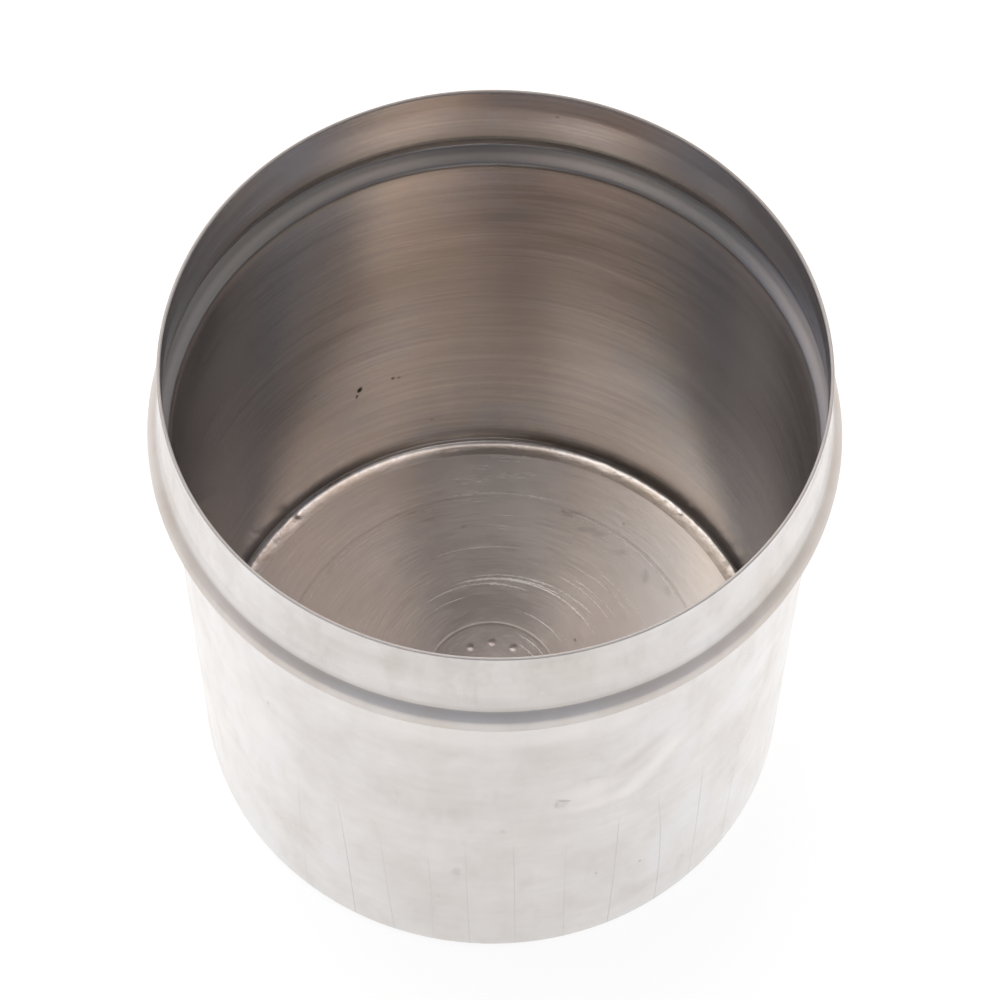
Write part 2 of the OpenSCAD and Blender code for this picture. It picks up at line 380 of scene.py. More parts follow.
def spread(start, end, step, fine_at=(), fine_step=0.09, fine_reach=0.9):
    """Places from start to end about a step apart, and a fine step apart near each place in fine_at."""
    even = np.linspace(start, end, max(1, math.ceil((end - start) / step)) + 1)
    near = [np.arange(c - fine_reach, c + fine_reach, fine_step) for c in fine_at]
    places = np.unique(np.concatenate([even, *near]))
    places = places[(places > start) & (places < end)]
    kept = [start]
    for p in places:
        if p - kept[-1] > fine_step / 2 and end - p > fine_step / 2:
            kept.append(p)
    return np.array([*kept, end])


def go(place, length, step=1.5, fine_at=()):
    """Places along a straight run; fine_at are heights that need a fine step."""
    radius, height, heading = place
    run = spread(0, length, step, [height - z for z in fine_at])[1:]
    return [(radius + d * math.sin(heading), height - d * math.cos(heading), heading) for d in run]


def turn(place, radius, degrees, step=3):
    """Places along an arc that leads outward for positive degrees and inward for negative ones."""
    start_r, start_z, heading = place
    side = math.copysign(1, degrees)
    count = math.ceil(abs(degrees) / step)
    places = []
    for i in range(1, count + 1):
        h = heading + math.radians(degrees) * i / count
        r = start_r + side * radius * (math.cos(heading) - math.cos(h))
        z = start_z - side * radius * (math.sin(h) - math.sin(heading))
        places.append((r, z, h))
    return places


def arcs_reach(*arcs):
    """How far arcs of (radius, heading before, heading after) lead outward and down, in mm."""
    out = sum(r * (math.cos(math.radians(a)) - math.cos(math.radians(b))) for r, a, b in arcs)
    down = sum(r * (math.sin(math.radians(b)) - math.sin(math.radians(a))) for r, a, b in arcs)
    return out, down


def straight_runs():
    """Lengths of the collar's taper and of the lid seat, which together give the bead its reach and drop."""
    arcs_out, arcs_down = arcs_reach((TAPER_R, 0, TAPER_ANGLE), (FLARE_R, TAPER_ANGLE, FLARE_ANGLE),
                                     (FOLD_R, FLARE_ANGLE, SEAT_ANGLE), (-SHOULDER_R, SEAT_ANGLE, 0))
    out = BEAD_R - BODY_R - arcs_out
    down = BEAD_DROP - COLLAR_RUN - arcs_down
    taper, seat = math.radians(TAPER_ANGLE), math.radians(SEAT_ANGLE)
    cross = math.sin(seat - taper)
    taper_run = (down * math.sin(seat) - out * math.cos(seat)) / cross
    seat_run = (out * math.cos(taper) - down * math.sin(taper)) / cross
    return taper_run, seat_run


def sheet_line():
    """The sheet's middle line from the lip to the foot: radius, height and heading, 0 being straight down."""
    half_t = SHEET_T / 2
    body_mid_r = BODY_R - half_t
    taper_run, seat_run = straight_runs()
    nose_turn, fall = 90 - LEDGE_ANGLE, math.radians(LEDGE_ANGLE)
    reach = BEAD_R - BODY_R - (NOSE_R + ROLL_R) * (1 - math.cos(math.radians(nose_turn)))
    ledge_run = reach / math.cos(fall)
    ledge_drop = (NOSE_R + ROLL_R) * math.sin(math.radians(nose_turn)) + ledge_run * math.sin(fall)
    wall_run = TOTAL_H - BEAD_DROP - ledge_drop - CORNER_R
    fine_heights = [p[1] for p in PITS]
    line = [(body_mid_r, TOTAL_H - half_t, 0.0)]
    line += go(line[-1], LIP_HOLD)
    line += go(line[-1], COLLAR_RUN - half_t - LIP_HOLD, fine_at=fine_heights)
    line += turn(line[-1], TAPER_R, TAPER_ANGLE)
    line += go(line[-1], taper_run, fine_at=fine_heights)
    line += turn(line[-1], FLARE_R, FLARE_ANGLE - TAPER_ANGLE)
    line += turn(line[-1], FOLD_R, SEAT_ANGLE - FLARE_ANGLE)
    line += go(line[-1], seat_run, step=0.4)
    line += turn(line[-1], SHOULDER_R, -SEAT_ANGLE)
    line += turn(line[-1], NOSE_R, -nose_turn, step=5)
    line += go(line[-1], ledge_run, step=0.4)
    line += turn(line[-1], ROLL_R, nose_turn, step=5)
    line += go(line[-1], wall_run, fine_at=fine_heights)
    line += turn(line[-1], CORNER_R - half_t, -90)
    line += go(line[-1], FOOT_W)
    return np.array(line)


def side_of(line, out):
    """The line moved outward by a distance: radius and height."""
    return np.stack([line[:, 0] + out * np.cos(line[:, 2]), line[:, 1] + out * np.sin(line[:, 2])], axis=1)


def arc(centre, radius, start, end, step=6):
    """Points on an arc between two angles in degrees: radius and height."""
    angles = np.radians(np.linspace(start, end, math.ceil(abs(end - start) / step) + 1))
    return np.stack([centre[0] + radius * np.cos(angles), centre[1] + radius * np.sin(angles)], axis=1)


def polar(azimuth, radius):
    """x and y of an azimuth in radians, which is 0 at the back, along +Y, and a quarter turn at +X."""
    return radius * np.sin(azimuth), radius * np.cos(azimuth)


def turn_between(azimuth, centre):
    """The arc from one azimuth in degrees to azimuths in radians, in radians from -pi to pi."""
    return (azimuth - math.radians(centre) + math.pi) % (2 * math.pi) - math.pi


def lathe(name, outline, azimuths, shift):
    """A mesh turned from a closed outline of radius and height in mm, its vertices moved by shift."""
    radius, azimuth = np.meshgrid(outline[:, 0], azimuths, indexing="ij")
    height = np.meshgrid(outline[:, 1], azimuths, indexing="ij")[0]
    more_r, more_z = shift(radius, height, azimuth)
    radius, height = radius + more_r, height + more_z
    x, y = polar(azimuth, radius)
    points = np.stack([x, y, height], axis=-1).reshape(-1, 3) * MM
    rows, columns = len(outline), len(azimuths)
    i, j = np.meshgrid(np.arange(rows), np.arange(columns), indexing="ij")
    here, below = i * columns, (i + 1) % rows * columns
    along = (j + 1) % columns
    faces = np.stack([here + j, below + j, below + along, here + along], axis=-1)
    mesh = bpy.data.meshes.new(name)
    mesh.from_pydata(points.tolist(), [], faces.reshape(-1, 4).tolist())
    piece = bpy.data.objects.new(name, mesh)
    bpy.context.scene.collection.objects.link(piece)
    weld(mesh)
    mesh.polygons.foreach_set("use_smooth", [True] * len(mesh.polygons))
    return piece


def weld(mesh):
    """Joins vertices that lie on each other, and turns all faces outward."""
    shape = bmesh.new()
    shape.from_mesh(mesh)
    bmesh.ops.remove_doubles(shape, verts=shape.verts, dist=1e-8)
    bmesh.ops.recalc_face_normals(shape, faces=shape.faces)
    shape.to_mesh(mesh)
    shape.free()


def even_azimuths(count, fine_at=()):
    """Azimuths all the way round, finer near those in fine_at, which are in degrees."""
    arc_mm = 2 * math.pi * WALL_IN_R
    places = [(a % 360) / 360 * arc_mm for a in fine_at]
    return spread(0, arc_mm, arc_mm / count, places)[:-1] / arc_mm * 2 * math.pi


def wobble(azimuth, height):
    """How far the thin wall strays from true, in mm: a few broad lobes that change down the wall."""
    up = height / TOTAL_H
    return sum(size * np.cos(count * azimuth + lean * up + start) for size, count, lean, start in LOBES)


def dents(azimuth, height):
    """How far the shallow dents push the wall inward, in mm."""
    depth = np.zeros_like(height)
    for centre, z, half_w, half_h, tilt, deep in DENTS:
        along, up = turn_between(azimuth, centre) * BODY_R, height - z
        c, s = math.cos(math.radians(tilt)), math.sin(math.radians(tilt))
        depth += deep * np.exp(-((c * along + s * up) / half_w) ** 2 - ((c * up - s * along) / half_h) ** 2)
    return depth


def pits(azimuth, height):
    """Depth of the small pits in the inside of the wall, in mm."""
    depth = np.zeros_like(height)
    for centre, z, half_w, half_h, deep in PITS:
        across = turn_between(azimuth, centre) * WALL_IN_R / half_w
        reach = np.sqrt(across ** 2 + ((height - z) / half_h) ** 2)
        depth += deep * np.clip(1.6 - 1.6 * reach, 0, 1)
    return depth


def shell_shift(inside_rows):
    """The shell's small irregularities; pits only show on the rows of the inside."""
    def shift(radius, height, azimuth):
        more = wobble(azimuth, height) - dents(azimuth, height)
        more += inside_rows[:, None] * pits(azimuth, height)
        foot = np.clip(height / 6, 0, 1)
        return more * foot, np.zeros_like(more)
    return shift


def make_shell():
    line = sheet_line()
    outer, inner = side_of(line, SHEET_T / 2), side_of(line, -SHEET_T / 2)[::-1]
    lip = arc((line[0, 0], line[0, 1]), SHEET_T / 2, 180, 0, step=20)[1:-1]
    outline = np.concatenate([outer, inner, lip])
    inside = np.zeros(len(outline))
    inside[len(outer):len(outer) + len(inner)] = 1
    azimuths = even_azimuths(SHELL_ROUND, [p[0] for p in PITS])
    shell = lathe("shell_steel_sheet", outline, azimuths, shell_shift(inside))
    finish = np.where(inside > 0, INSIDE, OUTSIDE)
    finish[len(outer) - 1] = INSIDE
    # The last faces close the lip, and the outermost two of them are as bright as the outside
    finish[len(outer) + len(inner) - 1:-2] = LIP
    shell.data.polygons.foreach_set("material_index", np.repeat(finish, len(azimuths)).astype(np.int32))
    return shell


def dot_height(radius, azimuth):
    """Height of the ring of coined dots above the floor, in mm."""
    step = 2 * math.pi / DOT_COUNT
    off = (azimuth + step / 2) % step - step / 2
    away = np.hypot(radius - DOT_RING_R, DOT_RING_R * off)
    return DOT_H * DOT_LEFT * np.clip(1 - (away / (DOT_D / 2)) ** 2, 0, 1) ** 2


def base_shift(radius, height, azimuth):
    """The coined groove, the dots and the slight unevenness of the disc's upper face."""
    top = height > FLOOR_Z - 0.01
    groove = np.clip(1.4 - 1.4 * np.abs(radius - COIN_R + COIN_W / 2) / (COIN_W / 2), 0, 1)
    groove = COIN_LEFT * groove * groove * (3 - 2 * groove)
    worn = WORN_DEPTH * np.exp(-((radius - WORN_R) / WORN_HALF) ** 2)
    hold = np.clip((BASE_R - radius) / 6, 0, 1)
    sag = FLOOR_SAG * np.cos(3 * azimuth + 0.4) * (radius / BASE_R) ** 2 * hold
    rise = dot_height(radius, azimuth) - COIN_DEPTH * groove - worn + sag
    return np.zeros_like(radius), np.where(top, rise, 0.0)


def make_base():
    fine = spread(CENTRE_R, COIN_R + 1, 0.11)
    far = spread(COIN_R + 1, BASE_R - 2 * EDGE_R, 0.6, [WORN_R], fine_step=0.1, fine_reach=0.8)[1:]
    top_r = np.concatenate([fine, far, [BASE_R - EDGE_R]])
    top = np.stack([top_r, np.full_like(top_r, FLOOR_Z)], axis=1)
    round_edge = arc((BASE_R - EDGE_R, FLOOR_Z - EDGE_R), EDGE_R, 90, 0, step=30)[1:]
    under = np.array([(BASE_R, SHEET_T), (BASE_R - 4, SHEET_T), (CENTRE_R, SHEET_T)])
    outline = np.concatenate([top, round_edge, under])
    return lathe("base_disc", outline, even_azimuths(BASE_ROUND), base_shift)


def seam_face(count=44):
    """The filler's face, low over the disc and turned up close to the wall: radius and height."""
    slope = ((np.arange(count) + 0.5) / count) ** 3 * math.pi / 2
    out, up = np.cumsum(np.cos(slope)), np.cumsum(np.sin(slope))
    scale = (WALL_IN_R - SEAM_LIP - BASE_R) / out[-1]
    start = [(BASE_R, FLOOR_Z), (BASE_R + SEAM_HOLD, FLOOR_Z)]
    return np.concatenate([start, np.stack([BASE_R + scale * out, FLOOR_Z + scale * up], axis=1)])


def drips(radius, azimuth):
    """How far the drips stand out of the filler's face, in mm, pits being less than 0."""
    out = np.zeros_like(radius)
    share = (radius - BASE_R) / (WALL_IN_R - BASE_R)
    for centre, place, half_w, half_h, deep in DRIPS:
        along = turn_between(azimuth, centre) * WALL_IN_R / half_w
        across = (share - place) * (WALL_IN_R - BASE_R) / half_h
        out += deep * np.exp(-along ** 2 - across ** 2)
    return out


def seam_shift(radius, height, azimuth):
    """The uneven face of the filler metal, with its drips and pits, moved the way that the face looks."""
    x, y = polar(azimuth, radius)
    rough = np.array([
        noise.fractal(Vector((a, b, c)) * SEAM_WAVES, 0.6, 2.1, 3)
        for a, b, c in zip(x.ravel(), y.ravel(), height.ravel())
    ]).reshape(x.shape)
    share = np.clip((radius - BASE_R) / (WALL_IN_R - BASE_R), 0, 1)
    facing = (height > FLOOR_Z) * np.clip(4 * share, 0, 1) * np.clip(6 - 6 * share, 0, 1)
    out = facing * (SEAM_ROUGH * rough + drips(radius, azimuth))
    return SEAM_LOOKS[0] * out, SEAM_LOOKS[1] * out


def make_seam():
    face = seam_face()
    start = math.degrees(math.asin(min(0, (face[-1, 1] - CORNER_R) / (CORNER_R - SHEET_T))))
    corner = arc((BODY_R - CORNER_R, CORNER_R), CORNER_R - SHEET_T, start, -90)
    outline = np.concatenate([face, corner, [(BASE_R, SHEET_T)]])
    return lathe("seam_filler", outline, even_azimuths(SEAM_ROUND), seam_shift)


def make_camera():
    """The camera at the photograph's viewpoint."""
    data = bpy.data.cameras.new("camera")
    data.lens, data.sensor_width = CAMERA_LENS, 36
    data.clip_start, data.clip_end = 0.01, 20
    camera = bpy.data.objects.new("camera", data)
    lip = Vector((0, 0, TOTAL_H))
    camera.location = (lip + BODY_R * Vector(CAMERA_FROM_LIP)) * MM
    turned = (
        Matrix.Rotation(math.radians(-CAMERA_YAW), 3, "Z")
        @ Matrix.Rotation(math.radians(90 - CAMERA_PITCH), 3, "X")
        @ Matrix.Rotation(math.radians(CAMERA_ROLL), 3, "Z")
    )
    camera.rotation_euler = turned.to_euler()
    bpy.context.scene.collection.objects.link(camera)
    bpy.context.scene.camera = camera


class Nodes:
    """Adds nodes to a shader tree. A value may be a number, a colour or another node's output."""

    def __init__(self, tree):
        self.tree = tree

    def put(self, socket, value):
        if isinstance(value, bpy.types.NodeSocket):
            self.tree.links.new(value, socket)
        elif value is not None:
            socket.default_value = value

    def add(self, kind, *values, **settings):
        made = self.tree.nodes.new("ShaderNode" + kind)
        for key, value in settings.items():
            setattr(made, key, value)
        for socket, value in zip(made.inputs, values):
            self.put(socket, value)
        return made

    def math(self, operation, *values):
        return self.add("Math", *values, operation=operation).outputs[0]

    def vector(self, operation, *values):
        return self.add("VectorMath", *values, operation=operation).outputs[0]

    def scaled(self, value, factor):
        """A vector or a colour times a number."""
        return self.vector("SCALE", value, None, None, factor)

    def length(self, value):
        return self.add("VectorMath", value, operation="LENGTH").outputs[1]

    def times(self, *values):
        return functools.reduce(lambda a, b: self.math("MULTIPLY", a, b), values)

    def plus(self, *values):
        return functools.reduce(lambda a, b: self.math("ADD", a, b), values)

    def absolute(self, value):
        """A value without its sign."""
        return self.math("ABSOLUTE", value)

    def remap(self, value, *ends):
        """A value that runs from one number to another, drawn out to run between two others."""
        return self.add("MapRange", value, *ends).outputs[0]

    def smooth(self, value, low, high):
        """0 at low and 1 at high, eased between them; low may be the larger of the two."""
        return self.add("MapRange", value, low, high, 0, 1, interpolation_type="SMOOTHSTEP").outputs[0]

    def spread(self, value, low, high):
        """A 0 to 1 value drawn out to run from low to high."""
        return self.remap(value, 0, 1, low, high)

    def shade(self, colour, value, swing):
        """The colour made lighter where a 0 to 1 value is above its middle, and darker where it is below."""
        return self.scaled(colour, self.spread(value, 1 - swing / 2, 1 + swing / 2))

    def tone(self, colour, value, stops):
        """The colour times the factors, up to 2, that stops give for places along a value."""
        low, high = stops[0][0], stops[-1][0]
        made = self.add("ValToRGB", self.remap(value, low, high, 0, 1))
        ramp = made.color_ramp.elements
        for place, _ in stops[1:-1]:
            ramp.new((place - low) / (high - low))
        for element, (_, factor) in zip(ramp, stops):
            element.color = (factor / 2, factor / 2, factor / 2, 1)
        return self.vector("MULTIPLY", colour, self.scaled(made.outputs[0], 2))

    def mix(self, share, first, second):
        """One colour faded into another; a Mix node's sockets for them are its 7th and 8th."""
        made = self.add("Mix", data_type="RGBA")
        for place, value in ((0, share), (6, first), (7, second)):
            self.put(made.inputs[place], value)
        return made.outputs[2]

    def noise(self, place, squeeze, detail=2.0, roughness=0.5):
        """Noise from 0 to 1; squeeze is how many of its waves fit in a millimetre each way."""
        squeezed = self.vector("MULTIPLY", place, squeeze)
        return self.add("TexNoise", squeezed, None, 1, detail, roughness).outputs[0]


class Metal(Nodes):
    """A metal finish with its brush lines round the can's axis, and places in millimetres."""

    def __init__(self, name, facing, anisotropic, metallic=0.85, stray=0.0):
        self.material = bpy.data.materials.new(name)
        self.material.use_nodes = True
        super().__init__(self.material.node_tree)
        self.shader = self.tree.nodes["Principled BSDF"]
        self.shader.inputs["Metallic"].default_value = metallic
        self.shader.inputs["Anisotropic"].default_value = anisotropic
        self.shader.inputs["Anisotropic Rotation"].default_value = 0.25
        tangent = self.add("Tangent", direction_type="RADIAL", axis="Z").outputs[0]
        self.put(self.shader.inputs["Tangent"], tangent)
        self.place = self.scaled(self.add("TexCoord").outputs["Object"], 1 / MM)
        self.x, self.y, self.height = self.add("SeparateXYZ", self.place).outputs
        self.flat = self.add("CombineXYZ", self.x, self.y, 0).outputs[0]
        self.radius = self.length(self.flat)
        self.facing = facing
        self.turned = self.math("ARCTAN2", self.x, self.times(self.y, facing))
        self.around = self.times(self.turned, BODY_R)
        self.wall = self.add("CombineXYZ", self.around, self.height, 0).outputs[0]
        self.ragged = self.math("SUBTRACT", self.noise(self.place, (2.5, 2.5, 2.5), 3), 0.5)
        self.stray = self.times(self.ragged, stray)

    def along(self, azimuth):
        """Millimetres along the wall of an azimuth in degrees, from the middle that the finish faces."""
        turned = azimuth if self.facing > 0 else 180 - azimuth
        return math.radians((turned + 180) % 360 - 180) * BODY_R

    def patch(self, flat, centre, half_w, half_h, tilt=0, soft=0.3, ragged=0.6):
        """1 inside a small uneven patch of a flat place, 0 outside it."""
        off = self.vector("SUBTRACT", flat, (*centre, 0))
        if tilt:
            off = self.add("VectorRotate", off, (0, 0, 0), (0, 0, 1), math.radians(tilt)).outputs[0]
        away = self.length(self.vector("MULTIPLY", off, (1 / half_w, 1 / half_h, 0)))
        return self.smooth(self.plus(away, self.times(self.ragged, ragged)), 1 + soft, 1 - soft)

    def spot(self, azimuth, height, half_w, half_h, tilt=0, soft=0.3):
        return self.patch(self.wall, (self.along(azimuth), height), half_w, half_h, tilt, soft)

    def hairline(self, top_az, foot_az, top, bow, width=0.12, foot=2, fade=9):
        """1 on a thin upright scratch that runs from its top down to the foot."""
        share = self.remap(self.height, top, foot, self.along(top_az), self.along(foot_az))
        down = self.remap(self.height, top, foot, -1, 1)
        bowed = self.plus(share, bow, self.times(down, down, -bow))
        near = self.absolute(self.plus(self.math("SUBTRACT", self.around, bowed), self.stray))
        return self.times(self.smooth(near, width, 0), self.smooth(self.height, top, top - fade))

    def scratch(self, circle, azimuths, half_w):
        """1 on a thin arc of a circle on the floor, between two azimuths."""
        x, y, radius = circle
        off = self.length(self.vector("SUBTRACT", self.flat, (x, y, 0)))
        near = self.absolute(self.plus(off, -radius, self.stray))
        start, end = (math.radians(a) for a in azimuths)
        middle, reach = (start + end) / 2, (end - start) / 2
        beside = self.absolute(self.plus(self.turned, -middle))
        return self.times(self.smooth(near, half_w, 0), self.smooth(beside, reach, reach * 0.6))

    def bead(self):
        """1 on the bead, whose metal is duller where it was rolled."""
        return self.times(self.smooth(self.height, *BEAD_TOP), self.smooth(self.height, *BEAD_FOOT))

    def darken(self, colour, mark, strength, tint=DIRT_AND_SHADE):
        """The colour faded into a tint, darker or lighter than it, on a mark."""
        return self.mix(self.times(mark, strength), colour, tint)

    def marked(self, colour, marks, tint=DIRT_AND_SHADE, soft=0.3):
        """The colour with marks on the wall, each a spot and a strength."""
        for spot, strength in marks:
            colour = self.darken(colour, self.spot(*spot, soft=soft), strength, tint)
        return colour

    def finish(self, colour, roughness, relief, depth):
        """Links the finish; depth is the height in metres that a relief of 1 stands for."""
        self.put(self.shader.inputs["Base Color"], colour)
        self.put(self.shader.inputs["Roughness"], roughness)
        bump = self.add("Bump", 1, depth, 1, relief)
        self.put(self.shader.inputs["Normal"], bump.outputs[0])
        return self.material


def inside_metal(m, cloud):
    """The inside's colour: painted shade at the sides, brown tarnish lighter at the back as a painted
    highlight, a light collar with painted light at the left, a dull bead, and painted light and shade round
    the bead.
    """
    # Brown tarnish with a painted highlight on the back, wider towards the foot
    reach = m.remap(m.height, TOTAL_H - BEAD_DROP, 0, TARNISH_HIGHLIGHT_TOP, TARNISH_HIGHLIGHT_FOOT)
    back = m.smooth(m.math("SUBTRACT", m.absolute(m.around), reach), TARNISH_HIGHLIGHT_EDGE, 0)
    tarnish = m.times(back, m.smooth(cloud, 0.1, 0.6))
    # Painted shade at the sides of the inside: at the left, and low on the right
    right = m.times(m.smooth(m.around, *RIGHT_SHADE), m.smooth(m.height, *RIGHT_SHADE_TOP))
    sides = m.plus(m.smooth(m.around, *LEFT_SHADE), m.times(right, 0.5))
    cool = m.mix(m.smooth(m.height, *WALL_RISE), COOL_LOW, COOL_HIGH)
    cool = m.mix(m.times(sides, 0.85), cool, SIDE_SHADE)
    # Painted light: the collar inside is lighter towards the left
    collar = m.mix(m.smooth(m.around, *COLLAR_LIT_SIDE), COLLAR_IN_BACK, COLLAR_IN_LIT_LEFT)
    cool = m.mix(m.smooth(m.height, *COLLAR_IN_FOOT), cool, collar)
    brown = m.mix(m.smooth(m.height, *TARNISH_HIGHLIGHT_RISE), TARNISH_HIGHLIGHT_LOW, TARNISH_HIGHLIGHT_HIGH)
    colour = m.mix(tarnish, cool, brown)
    # Painted light: the ledge is lighter at the right side and a little at the left
    beside = m.plus(m.smooth(m.around, *LEDGE_LIT_RIGHT), m.times(m.smooth(m.around, *LEDGE_LIT_LEFT), 0.35))
    rolled = m.mix(beside, LEDGE_BACK, LEDGE_LIT_SIDE)
    colour = m.mix(m.times(m.bead(), 0.8), colour, rolled)
    # Painted light and shade in bands round the bead
    return m.tone(colour, m.height, BEAD_LIGHT_AND_SHADE)


def inside_finish():
    """The inside of the wall: fine rings of brush marks, brown tarnish with a painted highlight, patchy
    painted shade at the foot, stains and pits.
    """
    m = Metal("shell_inside", 1, 0.7)
    wander = m.times(m.noise(m.place, (0.04, 0.04, 0.02)), 2.5)
    lined = m.vector("ADD", m.place, m.add("CombineXYZ", 0, 0, wander).outputs[0])
    left = m.plus(1, m.times(m.bead(), -ROLLED_SMOOTH))
    middle = m.times(m.bead(), ROLLED_SMOOTH / 2)
    fine = m.plus(m.times(m.noise(lined, (0.03, 0.03, 1.7), 3, 0.8), left), middle)
    broad = m.plus(m.times(m.noise(lined, (0.02, 0.02, 0.28), 3, 0.65), left), middle)
    cloud = m.noise(m.place, (0.05, 0.05, 0.05), 4, 0.6)
    colour = inside_metal(m, cloud)
    # Patchy painted shade at the foot of the wall, above the inner corner
    residue = m.times(m.smooth(m.height, *FOOT_SHADE_RISE), m.smooth(cloud, 0.2, 0.5))
    colour = m.darken(colour, residue, 0.42)
    colour = m.shade(m.shade(colour, broad, BROAD_SWING), fine, FINE_SWING)
    colour = m.marked(colour, INSIDE_LINES, LIGHT_LINE, 0.9)
    colour = m.marked(colour, INSIDE_CLOUDS, CLOUDED, 0.9)
    colour = m.marked(colour, INSIDE_STAINS)
    roughness = m.plus(m.spread(fine, 0.12, 0.26), m.spread(broad, -0.03, 0.05), m.times(m.bead(), 0.06))
    return m.finish(colour, roughness, m.plus(fine, m.times(broad, 0.8)), 0.00001)


def outside_metal(m, cloud, smear, beside):
    """The outside's colour: handled metal with faint brown stains and a painted highlight strip under the
    bead.
    """
    drag = m.noise(m.place, (0.12, 0.12, 0.55), 4, 0.7)
    stain = m.noise(m.vector("ADD", m.place, (31, 17, 5)), (0.09, 0.09, 0.06), 4, 0.6)
    clean = m.mix(beside, FRONT_METAL, SIDE_METAL)
    colour = m.mix(m.times(m.smooth(cloud, 0.35, 0.7), 0.8), clean, HANDLED_METAL)
    colour = m.darken(colour, m.smooth(smear, 0.5, 0.8), 0.08, SMEARED)
    colour = m.darken(colour, m.smooth(stain, 0.5, 0.72), 0.11, STAINED)
    colour = m.shade(colour, drag, DRAG_SWING)
    # A painted highlight: a light strip under the bead, at the front only
    strip = m.times(m.smooth(m.height, *HIGHLIGHT_STRIP_FOOT), m.smooth(m.height, *HIGHLIGHT_STRIP_TOP))
    return m.darken(colour, m.times(strip, m.plus(1, m.times(beside, -1))), 0.45, WIPE_AND_HIGHLIGHT)


def collar_grime_and_shade(m, colour, beside):
    """Dulls the collar outside, puts painted shade and grime in the crease over the bead, and grime on the
    lid's seat.
    """
    collar = m.smooth(m.height, CREASE_Z, CREASE_Z + COLLAR_EDGE)
    colour = m.darken(colour, collar, m.spread(beside, 0.04, 0.11), COLLAR_DULL)
    blotch = m.noise(m.place, (0.22, 0.22, 0.10), 4, 0.65)
    colour = m.darken(colour, m.times(collar, m.smooth(blotch, 0.45, 0.65)), 0.14, COLLAR_BLOTCH)
    # Painted shade, with grime, darkening the crease over the bead
    crease = m.smooth(m.absolute(m.plus(m.height, -CREASE_Z)), CREASE_SHADE_HALF, 0)
    colour = m.darken(colour, crease, 0.25, CREASE_SHADE_AND_GRIME)
    under = m.smooth(m.height, CREASE_Z + SEAT_EDGE, CREASE_Z - SEAT_EDGE)
    seat = m.times(under, m.smooth(m.height, SEAT_FOOT - 2, SEAT_FOOT))
    return m.darken(colour, m.times(m.spread(beside, 0.3, 1), seat), 0.35, SEAT_GRIME)


def outside_finish():
    """The outside of the wall: smudged and handled, with upright hairlines near the foot."""
    m = Metal("shell_outside", -1, 0.5, stray=0.25)
    cloud = m.noise(m.place, (0.10, 0.10, 0.07), 5, 0.6)
    smear = m.noise(m.place, (0.35, 0.35, 0.12), 4, 0.65)
    fine = m.noise(m.place, (0.08, 0.08, 2.6), 4, 0.7)
    beside = m.smooth(m.absolute(m.around), *BESIDE)
    colour = collar_grime_and_shade(m, outside_metal(m, cloud, smear, beside), beside)
    faint = m.spread(m.smooth(cloud, 0.4, 0.6), 0.3, 0.16)
    for line, strength in HAIRLINES:
        colour = m.darken(colour, m.hairline(*line), m.times(faint, strength))
    colour = m.marked(colour, OUTSIDE_SMUDGES, SMUDGED, 0.9)
    colour = m.marked(colour, OUTSIDE_WIPES, WIPE_AND_HIGHLIGHT, 0.7)
    colour = m.marked(colour, OUTSIDE_MARKS)
    roughness = m.plus(m.spread(cloud, 0.16, 0.30), m.spread(smear, -0.04, 0.06), m.times(m.bead(), 0.09))
    return m.finish(colour, roughness, m.plus(m.times(fine, 0.6), m.times(smear, 1.5)), 0.00001)


def lip_finish():
    """The lip, worn dull all round, and darker at the back as painted shade."""
    m = Metal("shell_lip", -1, 0.0, 0.15)
    wear = m.noise(m.place, (0.8, 0.8, 0.8), 3)
    colour = m.mix(wear, LIP_LIGHT, LIP_DARK)
    # Painted shade towards the back
    colour = m.darken(colour, m.smooth(m.absolute(m.around), *LIP_SHADE_BACK), 0.6, LIP_SHADE)
    return m.finish(colour, m.spread(wear, 0.50, 0.65), wear, 0.00001)


def floor_metal(m, cloud, broad, fine, far):
    """The floor's colour: painted highlights in the middle of its far edge and at the right, and painted
    shade at its middle.
    """
    colour = m.mix(m.smooth(cloud, 0.3, 0.7), FLOOR_CLEAN, FLOOR_TARNISH)
    # A painted highlight across the far middle, painted shade across the near middle, and a painted highlight
    # at the right
    colour = m.darken(colour, far, 0.6, LIGHT_SCRATCH_AND_HIGHLIGHT)
    near = m.times(m.smooth(m.absolute(m.x), *FAN), m.smooth(m.y, *FAN_SHADE_NEAR))
    colour = m.darken(colour, near, 0.30)
    colour = m.darken(colour, m.smooth(m.x, *FLOOR_RIGHT_HIGHLIGHT), 0.35, LIGHT_SCRATCH_AND_HIGHLIGHT)
    return m.shade(m.shade(colour, broad, BROAD_SWING / 3), fine, FLOOR_SWING)


def worn_ring(m, colour, ring_place, broad):
    """The worn ring near the floor's edge, and the patchy scribbles beside it."""
    inward = m.plus(WORN_R, m.times(m.radius, -1), m.stray)
    worn = m.times(m.smooth(m.absolute(inward), 0.28, 0.05), m.smooth(broad, 0.3, 0.6))
    band = m.times(m.smooth(inward, 0, 0.3), m.smooth(inward, WORN_BAND, WORN_BAND - 0.8))
    scribble = m.noise(ring_place, (2.2, 0.7, 1), 3, 0.7)
    patchy = m.smooth(m.noise(m.place, (0.12, 0.12, 0.12), 2), 0.45, 0.6)
    colour = m.darken(colour, worn, 0.18)
    return m.darken(colour, m.times(band, patchy, m.smooth(scribble, 0.52, 0.62)), 0.28)


